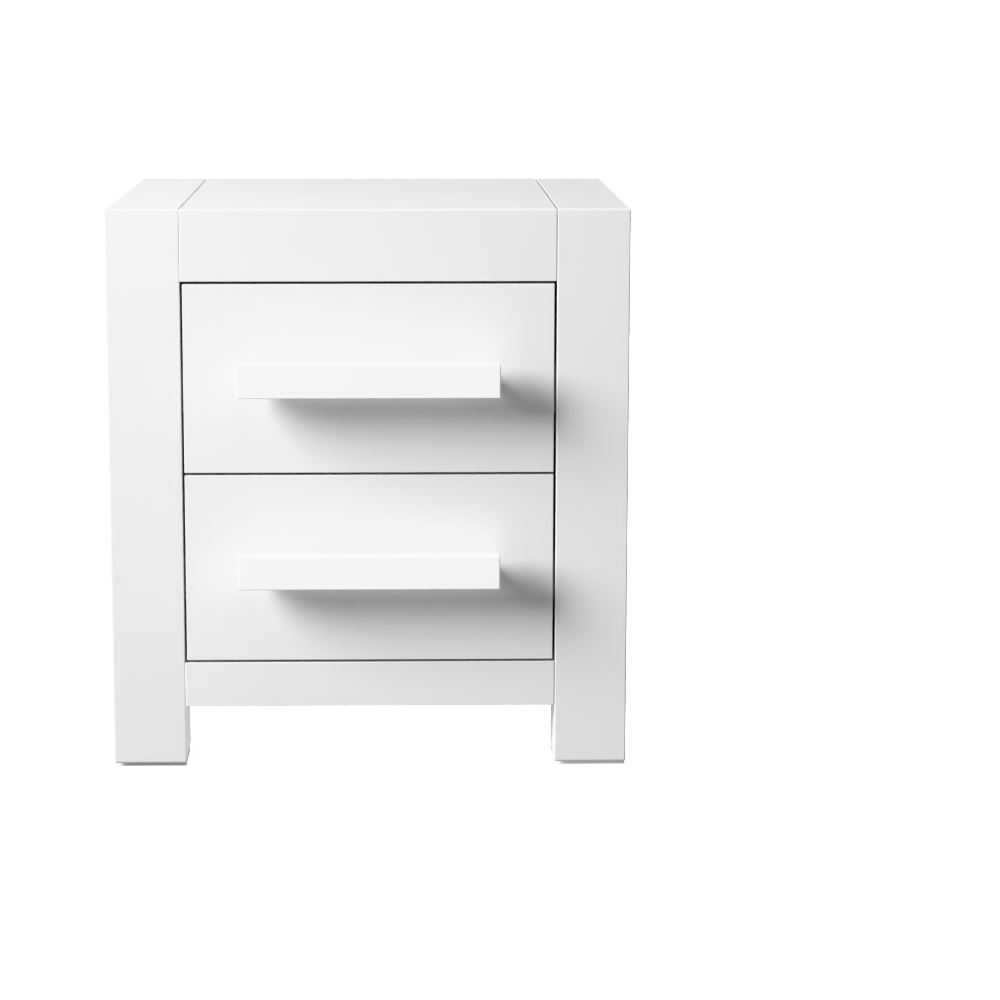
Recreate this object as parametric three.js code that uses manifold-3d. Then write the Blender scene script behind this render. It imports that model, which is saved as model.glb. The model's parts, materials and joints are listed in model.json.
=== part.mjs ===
// A white lacquered nightstand with two drawers, in millimetres.
// +X is to the right, +Y to the back and +Z up. The origin is on the floor, under the middle of the
// overall box, which reaches from the face of the handles to the back of the frame.
//
// The carcass is two mitred side frames with a folded top, a bottom and a back between them. Each drawer
// is an inset front on a plywood box that hangs on two full-extension runners and carries a bar handle.

import * as THREE from "three";
import { mergeVertices } from "three/addons/utils/BufferGeometryUtils.js";
import Module from "manifold-3d";

// ---------------------------------------------------------------- driving dimensions

// Overall
const WIDTH = 500;
const DEPTH = 420; // front to back of the side frames, without the handles
const HEIGHT = 545;

// Side frames
const POST = 70; // square section of the four legs, and width of the side frames
const TOP_HEIGHT = 69; // visible height of the top and of the side top rails
const RAIL_HEIGHT = 44; // visible height of all the bottom rails
const FLOOR_GAP = 60; // floor to the bottom rails
const OUTER_PANEL_THICKNESS = 12;
const OUTER_PANEL_RECESS = 5; // outer panel behind the outer face of its frame
const INNER_PANEL_THICKNESS = 16;

// Top and bottom
const TOP_THICKNESS = 22; // top panel and its folded front apron
const FRONT_RAIL_THICKNESS = 22;
const BACK_RAIL_THICKNESS = 20;
const BOTTOM_THICKNESS = 16;
const SEAM = 0.25; // between a side frame and what is fixed between the two frames

// Back panel, held in grooves
const BACK_THICKNESS = 6;
const BACK_RECESS = 8; // back panel in front of the frame's back face
const BACK_GROOVE = 8; // depth of its grooves

// Glides under the legs
const GLIDE_THICKNESS = 3;
const GLIDE_DIAMETER = 26;
const GLIDE_NAIL_DIAMETER = 2.6;
const GLIDE_NAIL_LENGTH = 15;

// Drawers
const DRAWERS = ["lower", "upper"]; // from the bottom
const REVEAL = 2.5; // gap round each drawer front
const FRONT_THICKNESS = 19;
const SIDE_THICKNESS = 12; // sides and back of the drawer boxes
const BOX_BELOW = 14; // box above the lower edge of its front
const BOX_ABOVE = 40; // box under the upper edge of its front
const DRAWER_BOTTOM_THICKNESS = 5;
const BOTTOM_SETUP = 10; // drawer bottom's groove above the lower edge of the box
const BOTTOM_GROOVE = 6; // depth of that groove

// Handles
const HANDLE_LENGTH = 250;
const HANDLE_HEIGHT = 32;
const HANDLE_THICKNESS = 18;
const HANDLE_GAP = 18; // finger gap between the bar and the drawer front
const HANDLE_RAISE = 2; // handle above the middle of its front
const HANDLE_SPACING = 224; // between the two screws
const STANDOFF_DIAMETER = 12;
const SCREW_DIAMETER = 4;
const SCREW_HEAD_DIAMETER = 8;
const SCREW_HEAD_HEIGHT = 2.6;
const SCREW_HEAD_RIM = 0.9; // straight edge of the head, under its dome
const SCREW_BITE = 12; // screw length inside the bar

// Runners: three nested channels of sheet steel
const RUNNER_SPACE = 13; // between the cabinet and the drawer box on each side
const RUNNER_STEP = 50; // runners come in lengths of whole steps
const RUNNER_SETBACK = 2; // runners behind the back of the drawer front
const RUNNER_REAR_SPACE = 10; // least space between the runners and the back panel
const RUNNER_HEIGHT = 45;
const RUNNER_SHEET = 1.2;
const RUNNER_HOOK = 1.2; // depth of a flange's hooked edge
const RUNNER_GAP = 1.2; // between the webs and edges of two nested channels
const CABINET_EDGE_GAP = 3.4; // drawer box to the edges of the cabinet's channel
const BALL_SPACE = 3.3; // between the flanges of two nested channels
const MIDDLE_SHORTER = 5; // middle channel inside each end of the other two
const TRAVEL_SPARE = 10; // runner length that stays out of the drawer's travel

// Clearances
const FIT = 0.3; // between a groove or a hole and what sits in it

// ---------------------------------------------------------------- sizes that follow

// Coordinates keep to a binary grid, so that faces that meet share the same 32-bit number.
const GRID = 1 / 64;
const snap = (value) => Math.round(value / GRID) * GRID;

const HANDLE_REACH = HANDLE_GAP + HANDLE_THICKNESS;
const FRONT = snap((HANDLE_REACH - DEPTH) / 2); // face of the frame and of the drawer fronts
const BACK = snap(FRONT + DEPTH);
const OUTSIDE = snap(WIDTH / 2);
const INSIDE = snap(OUTSIDE - POST); // inner face of a side frame
const FITTED = INSIDE - SEAM; // half the length of what is fixed between the frames
const OPENING_BOTTOM = FLOOR_GAP + RAIL_HEIGHT;
const OPENING_TOP = HEIGHT - TOP_HEIGHT;

const BACK_PANEL_REAR = BACK - BACK_RECESS;
const BACK_PANEL_FRONT = BACK_PANEL_REAR - BACK_THICKNESS;

const REVEALS = REVEAL * (DRAWERS.length + 1);
const FRONT_HEIGHT = snap((OPENING_TOP - OPENING_BOTTOM - REVEALS) / DRAWERS.length);
const FRONT_HALF_WIDTH = INSIDE - REVEAL;
const BOX_HALF_WIDTH = INSIDE - RUNNER_SPACE;
const BOX_TOP = FRONT_HEIGHT - BOX_ABOVE;
const RUNNER_FRONT = FRONT_THICKNESS + RUNNER_SETBACK; // from the face of the drawer front
const RUNNER_ROOM = BACK_PANEL_FRONT - RUNNER_REAR_SPACE - FRONT - RUNNER_FRONT;
const RUNNER_LENGTH = Math.floor(RUNNER_ROOM / RUNNER_STEP) * RUNNER_STEP;
const BOX_REAR = RUNNER_FRONT + RUNNER_LENGTH;
const RUNNER_CENTRE = snap((BOX_BELOW + BOX_TOP) / 2); // above the lower edge of the drawer front
const DRAWER_TRAVEL = RUNNER_LENGTH - TRAVEL_SPARE;

// ---------------------------------------------------------------- materials

const paint = (color, roughness, metalness = 0) =>
  new THREE.MeshStandardMaterial({ color, roughness, metalness });
const lacquer = paint(0xeeeeef, 0.35);
const handleLacquer = paint(0xf6f6f6, 0.3);
const backBoard = paint(0xe6e6e4, 0.55);
const plywood = paint(0xd9c19a, 0.5);
const zincSteel = paint(0xb9bcc0, 0.35, 1);
const screwSteel = paint(0xc8cacc, 0.25, 1);
const glidePlastic = paint(0xb9b4ab, 0.6);

// ---------------------------------------------------------------- geometry helpers

const wasm = await Module();
wasm.setup();

// A box from its two ends along X, along Y and along Z.
function block(...spans) {
  const ends = spans.map((ends) => ends.map(snap));
  const sizes = ends.map(([low, high]) => high - low);
  const middles = ends.map(([low, high]) => (low + high) / 2);
  return new THREE.BoxGeometry(...sizes).translate(...middles);
}

// A closed outline of [a, b] points, extruded by length along the third of the axes that basis holds.
function prism(points, length, basis) {
  const shape = new THREE.Shape(points.map(([a, b]) => new THREE.Vector2(snap(a), snap(b))));
  const axes = basis.map((axis) => new THREE.Vector3(...axis));
  const geometry = new THREE.ExtrudeGeometry(shape, { depth: snap(length), bevelEnabled: false });
  return geometry.applyMatrix4(new THREE.Matrix4().makeBasis(...axes));
}

// An outline of [y, z] points, from x0 to x1.
const alongX = (points, x0, x1) =>
  prism(points, x1 - x0, [[0, 1, 0], [0, 0, 1], [1, 0, 0]]).translate(snap(x0), 0, 0);

// An outline of [x, z] points, from y0 to y1.
const alongY = (points, y0, y1) =>
  prism(points, y1 - y0, [[1, 0, 0], [0, 0, 1], [0, -1, 0]]).translate(0, snap(y1), 0);

// A turned body: [radius, place] points along its axis, which is Y.
const turned = (points, segments = 32) =>
  new THREE.LatheGeometry(points.map(([r, y]) => new THREE.Vector2(r, y)), segments);

const rod = (diameter, from, to) =>
  turned([[0, from], [diameter / 2, from], [diameter / 2, to], [0, to]]);

function solid(geometry) {
  const bare = geometry.clone();
  bare.deleteAttribute("normal");
  bare.deleteAttribute("uv");
  const merged = mergeVertices(bare);
  const vertProperties = merged.attributes.position.array;
  const triVerts = new Uint32Array(merged.index.array);
  return new wasm.Manifold(new wasm.Mesh({ numProp: 3, vertProperties, triVerts }));
}

function cut(geometry, cutters) {
  let body = solid(geometry);
  for (const cutter of cutters) body = body.subtract(solid(cutter));
  const mesh = body.getMesh();
  const result = new THREE.BufferGeometry();
  result.setAttribute("position", new THREE.BufferAttribute(new Float32Array(mesh.vertProperties), 3));
  result.setIndex(new THREE.BufferAttribute(new Uint32Array(mesh.triVerts), 1));
  result.computeVertexNormals();
  return result;
}

function add(group, name, material, geometry, cutters = []) {
  const mesh = new THREE.Mesh(cutters.length ? cut(geometry, cutters) : geometry, material);
  mesh.name = name;
  group.add(mesh);
  return mesh;
}

const SIDES = { left: -1, right: 1 };
const span = (a, b) => [Math.min(a, b), Math.max(a, b)];

// ---------------------------------------------------------------- side frames

// The back panel's grooves, round all four sides of the opening.
const backGrooves = block(
  [-INSIDE - BACK_GROOVE, INSIDE + BACK_GROOVE],
  [BACK_PANEL_FRONT - FIT, BACK_PANEL_REAR + FIT],
  [OPENING_BOTTOM - BACK_GROOVE, OPENING_TOP + BACK_GROOVE],
);

function glide() {
  const [radius, edge] = [GLIDE_DIAMETER / 2, GLIDE_THICKNESS / 3];
  const top = GLIDE_THICKNESS + GLIDE_NAIL_LENGTH;
  const nail = GLIDE_NAIL_DIAMETER / 2;
  const outline = [[0, 0], [radius - edge, 0], [radius, edge], [radius, GLIDE_THICKNESS]];
  outline.push([nail, GLIDE_THICKNESS], [nail, top - nail], [0, top]);
  return turned(outline).rotateX(Math.PI / 2);
}

// Legs and top rail meet in mitres, so the frame's front and top faces show no joint.
function sideFrame(side, sign) {
  const frame = new THREE.Group();
  const [x0, x1] = span(sign * INSIDE, sign * OUTSIDE);
  const legMiddle = (x0 + x1) / 2;
  const [innerFront, innerBack] = [FRONT + POST, BACK - POST];

  for (const [end, face, inner] of [["front", FRONT, innerFront], ["rear", BACK, innerBack]]) {
    const glideY = (face + inner) / 2;
    const hole = rod(GLIDE_NAIL_DIAMETER + 2 * FIT, 0, GLIDE_THICKNESS + GLIDE_NAIL_LENGTH + FIT);
    hole.rotateX(Math.PI / 2).translate(legMiddle, glideY, 0);
    const cutters = end === "rear" ? [hole, backGrooves] : [hole];
    const outline = [[face, GLIDE_THICKNESS], [inner, GLIDE_THICKNESS]];
    outline.push([inner, OPENING_TOP], [face, HEIGHT]);
    add(frame, `${end}_${side}_leg`, lacquer, alongX(outline, x0, x1), cutters);
    add(frame, `${end}_${side}_glide`, glidePlastic, glide()).position.set(legMiddle, glideY, 0);
  }

  const topOutline = [[FRONT, HEIGHT], [BACK, HEIGHT]];
  topOutline.push([innerBack, OPENING_TOP], [innerFront, OPENING_TOP]);
  add(frame, `${side}_top_rail`, lacquer, alongX(topOutline, x0, x1));
  const between = [innerFront, innerBack];
  add(frame, `${side}_bottom_rail`, lacquer, block([x0, x1], between, [FLOOR_GAP, OPENING_BOTTOM]));

  const outerFace = OUTSIDE - OUTER_PANEL_RECESS;
  const outerX = span(sign * (outerFace - OUTER_PANEL_THICKNESS), sign * outerFace);
  add(frame, `${side}_outer_panel`, lacquer, block(outerX, between, [OPENING_BOTTOM, OPENING_TOP]));
  const innerX = span(sign * INSIDE, sign * (INSIDE + INNER_PANEL_THICKNESS));
  add(frame, `${side}_inner_panel`, lacquer, block(innerX, between, [OPENING_BOTTOM, OPENING_TOP]));
  return frame;
}

// ---------------------------------------------------------------- top, bottom and back

function topBottomAndBack() {
  const group = new THREE.Group();
  const across = [-FITTED, FITTED];
  const apronBack = FRONT + TOP_THICKNESS;
  const topUnderside = HEIGHT - TOP_THICKNESS;
  const backRailFront = BACK - BACK_RAIL_THICKNESS;

  // The top panel and its apron are one board, mitred and folded.
  const fold = [[FRONT, HEIGHT], [apronBack, topUnderside]];
  const panelOutline = [...fold, [BACK, topUnderside], [BACK, HEIGHT]].toReversed();
  add(group, "top_panel", lacquer, alongX(panelOutline, ...across));
  const apronOutline = [...fold, [apronBack, OPENING_TOP], [FRONT, OPENING_TOP]];
  add(group, "top_front_apron", lacquer, alongX(apronOutline, ...across));

  const backRailY = [backRailFront, BACK];
  const topBackRail = block(across, backRailY, [OPENING_TOP, topUnderside]);
  add(group, "top_back_rail", lacquer, topBackRail, [backGrooves]);
  const bottomBackRail = block(across, backRailY, [FLOOR_GAP, OPENING_BOTTOM]);
  add(group, "bottom_back_rail", lacquer, bottomBackRail, [backGrooves]);

  const frontRailY = [FRONT, FRONT + FRONT_RAIL_THICKNESS];
  add(group, "bottom_front_rail", lacquer, block(across, frontRailY, [FLOOR_GAP, OPENING_BOTTOM]));
  const bottomY = [FRONT + FRONT_RAIL_THICKNESS, backRailFront];
  const bottomZ = [OPENING_BOTTOM - BOTTOM_THICKNESS, OPENING_BOTTOM];
  add(group, "bottom_panel", lacquer, block(across, bottomY, bottomZ));

  const tongue = BACK_GROOVE - FIT;
  const backX = [-INSIDE - tongue, INSIDE + tongue];
  const backZ = [OPENING_BOTTOM - tongue, OPENING_TOP + tongue];
  add(group, "back_panel", backBoard, block(backX, [BACK_PANEL_FRONT, BACK_PANEL_REAR], backZ));
  return group;
}

// ---------------------------------------------------------------- runners

// A channel's outline as [distance from the cabinet, height over the runner's middle]: a web with two
// flanges, each with a hooked edge.
function channel(web, edge, halfHeight) {
  const sheet = Math.sign(edge - web) * RUNNER_SHEET;
  const inner = halfHeight - RUNNER_SHEET;
  const hooked = inner - RUNNER_HOOK;
  const half = [[web, halfHeight], [edge, halfHeight], [edge, hooked], [edge - sheet, hooked]];
  half.push([edge - sheet, inner], [web + sheet, inner]);
  return [...half, ...half.toReversed().map(([u, v]) => [u, -v])];
}

// The cabinet's channel holds the middle one, and that one holds the drawer's, which opens the other way.
function channels() {
  const middleWeb = RUNNER_SHEET + RUNNER_GAP;
  const middleEdge = RUNNER_SPACE - RUNNER_SHEET - RUNNER_GAP;
  const drawerEdge = middleWeb + RUNNER_SHEET + RUNNER_GAP;
  const halfHeight = RUNNER_HEIGHT / 2;
  const nesting = RUNNER_SHEET + BALL_SPACE;
  return {
    cabinet: channel(0, RUNNER_SPACE - CABINET_EDGE_GAP, halfHeight),
    middle: channel(middleWeb, middleEdge, halfHeight - nesting),
    drawer: channel(RUNNER_SPACE, drawerEdge, halfHeight - 2 * nesting),
  };
}

function addRunners(group, drawer, height) {
  for (const [member, outline] of Object.entries(channels())) {
    const shorter = member === "middle" ? MIDDLE_SHORTER : 0;
    const ends = [RUNNER_FRONT + shorter, BOX_REAR - shorter];
    for (const [side, sign] of Object.entries(SIDES)) {
      const points = outline.map(([u, v]) => [sign * (INSIDE - u), height + v]);
      add(group, `${drawer}_${side}_${member}_runner`, zincSteel, alongY(points, ...ends));
    }
  }
}

// ---------------------------------------------------------------- drawers

const DOME_STEPS = 4;

// A pan-head screw that points to the front, with the underside of its head at the origin.
function screw() {
  const [head, shank] = [SCREW_HEAD_DIAMETER / 2, SCREW_DIAMETER / 2];
  const tip = -(FRONT_THICKNESS + HANDLE_GAP + SCREW_BITE);
  const dome = SCREW_HEAD_HEIGHT - SCREW_HEAD_RIM;
  const outline = [[0, tip], [shank, tip], [shank, 0], [head, 0]];
  for (let step = 0; step < DOME_STEPS; step++) {
    const angle = ((step / DOME_STEPS) * Math.PI) / 2;
    outline.push([head * Math.cos(angle), SCREW_HEAD_RIM + dome * Math.sin(angle)]);
  }
  outline.push([0, SCREW_HEAD_HEIGHT]);
  return turned(outline, 24);
}

// The bar stands off the front on two sleeves. The screws pass from inside the drawer into the bar, through
// the holes that this gives back.
function addHandle(group, drawer) {
  const barBack = -HANDLE_GAP;
  const middle = FRONT_HEIGHT / 2 + HANDLE_RAISE;
  const holeDiameter = SCREW_DIAMETER + 2 * FIT;
  const holes = [];
  for (const [side, sign] of Object.entries(SIDES)) {
    const x = (sign * HANDLE_SPACING) / 2;
    const from = barBack - SCREW_BITE - FIT;
    holes.push(rod(holeDiameter, from, FRONT_THICKNESS + FIT).translate(x, 0, middle));
    const [outer, bore] = [STANDOFF_DIAMETER / 2, holeDiameter / 2];
    const outline = [[bore, barBack], [outer, barBack], [outer, 0], [bore, 0], [bore, barBack]];
    const sleeve = add(group, `${drawer}_handle_standoff_${side}`, handleLacquer, turned(outline));
    sleeve.position.set(x, 0, middle);
    const fastener = add(group, `${drawer}_handle_screw_${side}`, screwSteel, screw());
    fastener.position.set(x, FRONT_THICKNESS, middle);
  }
  const half = HANDLE_LENGTH / 2;
  const barZ = [middle - HANDLE_HEIGHT / 2, middle + HANDLE_HEIGHT / 2];
  const bar = block([-half, half], [-HANDLE_REACH, barBack], barZ);
  add(group, `${drawer}_handle_bar`, handleLacquer, bar, holes);
  return holes;
}

// The front and the box behind it. The bottom slides in from the rear, under the box's back, in grooves of
// the sides and the front.
function addDrawerBox(group, name, handleHoles) {
  const boxZ = [BOX_BELOW, BOX_TOP];
  const boxInside = BOX_HALF_WIDTH - SIDE_THICKNESS;
  const bottomLow = BOX_BELOW + BOTTOM_SETUP;
  const bottomHigh = bottomLow + DRAWER_BOTTOM_THICKNESS;
  const bottomHalf = boxInside + BOTTOM_GROOVE;

  const groove = block(
    [-bottomHalf, bottomHalf],
    [FRONT_THICKNESS - BOTTOM_GROOVE, BOX_REAR + FIT],
    [bottomLow - FIT, bottomHigh + FIT],
  );
  const frontX = [-FRONT_HALF_WIDTH, FRONT_HALF_WIDTH];
  const frontBlock = block(frontX, [0, FRONT_THICKNESS], [0, FRONT_HEIGHT]);
  add(group, `${name}_drawer_front`, lacquer, frontBlock, [groove, ...handleHoles]);
  const backX = [-boxInside, boxInside];
  const backY = [BOX_REAR - SIDE_THICKNESS, BOX_REAR];
  add(group, `${name}_drawer_back`, plywood, block(backX, backY, [bottomHigh + FIT, BOX_TOP]));
  const bottomX = [-bottomHalf + FIT, bottomHalf - FIT];
  const bottomY = [FRONT_THICKNESS - BOTTOM_GROOVE + FIT, BOX_REAR];
  add(group, `${name}_drawer_bottom`, plywood, block(bottomX, bottomY, [bottomLow, bottomHigh]));

  for (const [side, sign] of Object.entries(SIDES)) {
    const sideX = span(sign * boxInside, sign * BOX_HALF_WIDTH);
    const board = block(sideX, [FRONT_THICKNESS, BOX_REAR], boxZ);
    add(group, `${name}_drawer_${side}_side`, plywood, board, [groove]);
  }
}

// A drawer with its runners. Its own frame starts at the middle of the front's lower edge, on its face.
function drawer(name) {
  const group = new THREE.Group();
  const handleHoles = addHandle(group, name);
  addDrawerBox(group, name, handleHoles);
  addRunners(group, name, RUNNER_CENTRE);
  group.userData.travel = DRAWER_TRAVEL; // along -Y; the middle runners go half as far
  return group;
}

// ---------------------------------------------------------------- assembly

const nightstand = new THREE.Group();
for (const [side, sign] of Object.entries(SIDES)) nightstand.add(sideFrame(side, sign));
nightstand.add(topBottomAndBack());
DRAWERS.forEach((name, level) => {
  const bottom = OPENING_BOTTOM + REVEAL + level * (FRONT_HEIGHT + REVEAL);
  const group = drawer(name);
  group.position.set(0, FRONT, snap(bottom));
  nightstand.add(group);
});

export default nightstand;
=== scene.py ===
"""The looks of a white lacquered nightstand with two drawers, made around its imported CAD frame.

Metres, +X to the right, +Y to the back, +Z up, and the drawers open towards -Y. Each CAD node gets a piece with
rounded edges and a procedural finish in its place, and the fittings that the CAD leaves out are added.
"""
import json
import math

import bmesh
import bpy
from mathutils import Matrix, Vector

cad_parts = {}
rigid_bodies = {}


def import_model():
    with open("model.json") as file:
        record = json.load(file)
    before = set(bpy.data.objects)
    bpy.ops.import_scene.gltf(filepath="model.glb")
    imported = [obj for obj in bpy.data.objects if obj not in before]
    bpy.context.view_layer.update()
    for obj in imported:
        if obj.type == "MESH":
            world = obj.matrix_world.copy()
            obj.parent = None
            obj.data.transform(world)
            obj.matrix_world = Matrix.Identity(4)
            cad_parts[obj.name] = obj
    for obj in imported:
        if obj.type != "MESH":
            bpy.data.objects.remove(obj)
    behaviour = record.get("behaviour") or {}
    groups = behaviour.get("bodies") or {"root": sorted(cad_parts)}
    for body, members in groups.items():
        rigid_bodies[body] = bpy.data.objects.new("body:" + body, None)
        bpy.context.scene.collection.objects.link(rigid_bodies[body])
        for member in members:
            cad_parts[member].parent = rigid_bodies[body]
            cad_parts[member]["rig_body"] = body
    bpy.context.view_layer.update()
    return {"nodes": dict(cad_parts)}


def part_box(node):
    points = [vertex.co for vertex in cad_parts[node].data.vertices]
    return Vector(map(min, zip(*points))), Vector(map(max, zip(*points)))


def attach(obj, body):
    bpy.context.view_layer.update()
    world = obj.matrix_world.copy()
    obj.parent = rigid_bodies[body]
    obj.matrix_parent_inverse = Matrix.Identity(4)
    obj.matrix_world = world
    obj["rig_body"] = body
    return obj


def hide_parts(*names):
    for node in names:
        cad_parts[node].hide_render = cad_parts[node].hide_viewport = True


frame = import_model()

MM = 0.001
NODES = frame["nodes"]
SIDES = {"left": -1, "right": 1}
DRAWERS = ("lower", "upper")
X, Y, Z = Vector((1, 0, 0)), Vector((0, 1, 0)), Vector((0, 0, 1))

# ---------------------------------------------------------------- sizes of the details

ARRIS = 1.6 * MM  # rounding of the frame's outer edges and of the top's fold
SEAM_EDGE = 1.0 * MM  # rounding of edges that meet in a tight seam
REVEAL_EDGE = 0.5 * MM  # rounding of the edges round the drawer fronts
SHADOW_GROOVE = (1.1 * MM, 6.0 * MM)  # how far the seams of the top are cut back on each side, and how deep
GROOVE_START = 1.2 * MM  # from the front face
LEG_END = 2.4 * MM  # rounding round the bottom of a leg
BOARD_EDGE = 0.8 * MM  # rounding of the other lacquered boards
BAR_EDGE = 1.0 * MM
PLY_EDGE = 1.0 * MM  # eased edges of the drawer boxes
ARC_STEPS = 4  # facets in each rounded edge
SHARP_ANGLE = math.radians(35)  # edges that turn more than this stay sharp

SHEET = 1.2 * MM  # runner steel
CAGE_SHEET = 0.6 * MM
BALL = 3.2 * MM
BALL_PITCH = 10 * MM
CAGE_LENGTH = 100 * MM
CAM_DIAMETER = 15 * MM


# ---------------------------------------------------------------- meshes

def add_piece(name, bm, material, body, stands_for=()):
    """The bmesh as a finished piece on a CAD body. It is freed."""
    bmesh.ops.remove_doubles(bm, verts=bm.verts, dist=1e-6)
    bmesh.ops.recalc_face_normals(bm, faces=bm.faces)
    mesh = bpy.data.meshes.new(name)
    bm.to_mesh(mesh)
    bm.free()
    mesh.materials.append(material)
    mesh.shade_smooth()
    mesh.set_sharp_from_angle(angle=SHARP_ANGLE)
    piece = bpy.data.objects.new(name, mesh)
    bpy.context.scene.collection.objects.link(piece)
    normals = piece.modifiers.new("even_shading", "WEIGHTED_NORMAL")
    normals.keep_sharp = True
    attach(piece, body)
    if stands_for:
        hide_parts(*stands_for)
    return piece


def finish_node(node, bm, material):
    """The bmesh as the piece that stands for one CAD node, on that node's body."""
    return add_piece(node + "_finished", bm, material, NODES[node]["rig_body"], [node])


def rounded_outline(low, high, radii, inset=0.0):
    """A rectangle of (u, v) points with an arc at each corner, counter-clockwise from the lowest one."""
    corners = [(low[0], low[1], 1, 1), (high[0], low[1], -1, 1)]
    corners += [(high[0], high[1], -1, -1), (low[0], high[1], 1, -1)]
    points = []
    for turn, ((u, v, to_u, to_v), radius) in enumerate(zip(corners, radii)):
        reach = max(radius, inset)
        left = reach - inset
        for step in range(ARC_STEPS + 1):
            angle = math.pi + (turn + step / ARC_STEPS) * math.pi / 2
            points.append((u + to_u * reach + left * math.cos(angle),
                           v + to_v * reach + left * math.sin(angle)))
    return points


def loft(bm, rings, closed=False):
    """Faces between rings of vertices, and a cap on the first and the last unless the rings close."""
    pairs = list(zip(rings, rings[1:] + rings[:1] if closed else rings[1:]))
    for low, high in pairs:
        for i in range(len(low)):
            j = (i + 1) % len(low)
            bm.faces.new((low[i], low[j], high[j], high[i]))
    if not closed:
        bm.faces.new(rings[0][::-1])
        bm.faces.new(rings[-1])


def board(low, high, along="Z", radii=4 * (BOARD_EDGE,), ends=2 * (BOARD_EDGE,)):
    """A box with rounded edges. The radii belong to the four edges that run along it, in the order of
    rounded_outline, and ends to its two ends. An "edge" attribute is 1 on the rounded edges, 0 on the faces."""
    axis = "XYZ".index(along)
    u, v = (axis + 1) % 3, (axis + 2) % 3
    bm = bmesh.new()
    edge = bm.verts.layers.float.new("edge")
    rings = []
    for place, side, radius in ((low[axis], 1, ends[0]), (high[axis], -1, ends[1])):
        ring_set = []
        for step in range(ARC_STEPS + 1):
            angle = step / ARC_STEPS * math.pi / 2
            inset = radius * (1 - math.sin(angle))
            outline = rounded_outline((low[u], low[v]), (high[u], high[v]), radii, inset)
            ring = []
            for i, (a, b) in enumerate(outline):
                point = Vector()
                point[axis], point[u], point[v] = place + side * radius * (1 - math.cos(angle)), a, b
                vertex = bm.verts.new(point)
                round_corner = math.sin(math.pi * (i % (ARC_STEPS + 1)) / ARC_STEPS) if step else 0.0
                vertex[edge] = max(round_corner, math.sin(2 * angle))
                ring.append(vertex)
            ring_set.append(ring)
        rings += ring_set if side == 1 else ring_set[::-1]
    loft(bm, rings)
    bmesh.ops.remove_doubles(bm, verts=bm.verts, dist=1e-7)
    return bm


def mitre(bm, point, normal):
    """Cuts off what lies beyond a plane, on the side that its normal points to, and closes the cut."""
    geometry = [*bm.verts, *bm.edges, *bm.faces]
    result = bmesh.ops.bisect_plane(bm, geom=geometry, plane_co=point, plane_no=normal, clear_outer=True,
                                    dist=1e-7)
    cut = [item for item in result["geom_cut"] if isinstance(item, bmesh.types.BMEdge)]
    bmesh.ops.edgeloop_fill(bm, edges=cut)
    return bm


def turned(bm, profile, centre, direction, segments=48):
    """Adds a turned body: (radius, place) points along a direction from a centre, on the axis at both ends."""
    direction = Vector(direction)
    across = direction.orthogonal().normalized()
    other = direction.cross(across)
    rings = []
    for radius, place in profile:
        ring = []
        for i in range(segments if radius > 0 else 1):
            angle = 2 * math.pi * i / segments
            spoke = across * math.cos(angle) + other * math.sin(angle)
            ring.append(bm.verts.new(Vector(centre) + direction * place + spoke * radius))
        rings.append(ring)
    for low, high in zip(rings, rings[1:]):
        for i in range(segments):
            a, b = low[i % len(low)], low[(i + 1) % len(low)]
            c, d = high[(i + 1) % len(high)], high[i % len(high)]
            bm.faces.new([vertex for k, vertex in enumerate((a, b, c, d)) if vertex not in (a, b, c, d)[:k]])
    return bm


def arc(centre_radius, centre_place, radius, start, end, steps=6):
    """Profile points round a fillet, with its angles in degrees from the direction of growing radius."""
    angles = [math.radians(start + (end - start) * step / steps) for step in range(steps + 1)]
    return [(centre_radius + radius * math.cos(a), centre_place + radius * math.sin(a)) for a in angles]


def carve(bm, cutters):
    """The bmesh with each cutter's volume taken away. The bmeshes are freed."""
    scene = bpy.context.scene
    made = []
    for source in (bm, *cutters):
        bmesh.ops.recalc_face_normals(source, faces=source.faces)
        mesh = bpy.data.meshes.new("carving")
        source.to_mesh(mesh)
        source.free()
        made.append(bpy.data.objects.new("carving", mesh))
        scene.collection.objects.link(made[-1])
    body, *tools = made
    for tool in tools:
        cut = body.modifiers.new("cut", "BOOLEAN")
        cut.operation, cut.solver, cut.object = "DIFFERENCE", "EXACT", tool
    evaluated = body.evaluated_get(bpy.context.evaluated_depsgraph_get())
    result = bmesh.new()
    result.from_mesh(evaluated.to_mesh())
    evaluated.to_mesh_clear()
    for item in made:
        mesh = item.data
        bpy.data.objects.remove(item)
        bpy.data.meshes.remove(mesh)
    return result


def box_cutter(low, high):
    bm = bmesh.new()
    bmesh.ops.create_cube(bm, size=1.0)
    size, middle = Vector(high) - Vector(low), (Vector(high) + Vector(low)) / 2
    bmesh.ops.transform(bm, matrix=Matrix.Translation(middle) @ Matrix.Diagonal((*size, 1)), verts=bm.verts)
    return bm


def copy_into(bm, template, centre, direction, size=1.0, turn=0.0):
    """Adds a template mesh, whose axis is +Z, to a bmesh."""
    before = len(bm.verts)
    bm.from_mesh(template)
    bm.verts.ensure_lookup_table()
    rotation = Vector(direction).to_track_quat("Z", "Y").to_matrix().to_4x4()
    spin = Matrix.Rotation(turn, 4, "Z")
    place = Matrix.Translation(Vector(centre)) @ rotation @ spin @ Matrix.Scale(size, 4)
    bmesh.ops.transform(bm, matrix=place, verts=bm.verts[before:])


# ---------------------------------------------------------------- materials

def new_material(name):
    material = bpy.data.materials.new(name)
    material.use_nodes = True
    return material, material.node_tree, material.node_tree.nodes["Principled BSDF"]


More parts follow.
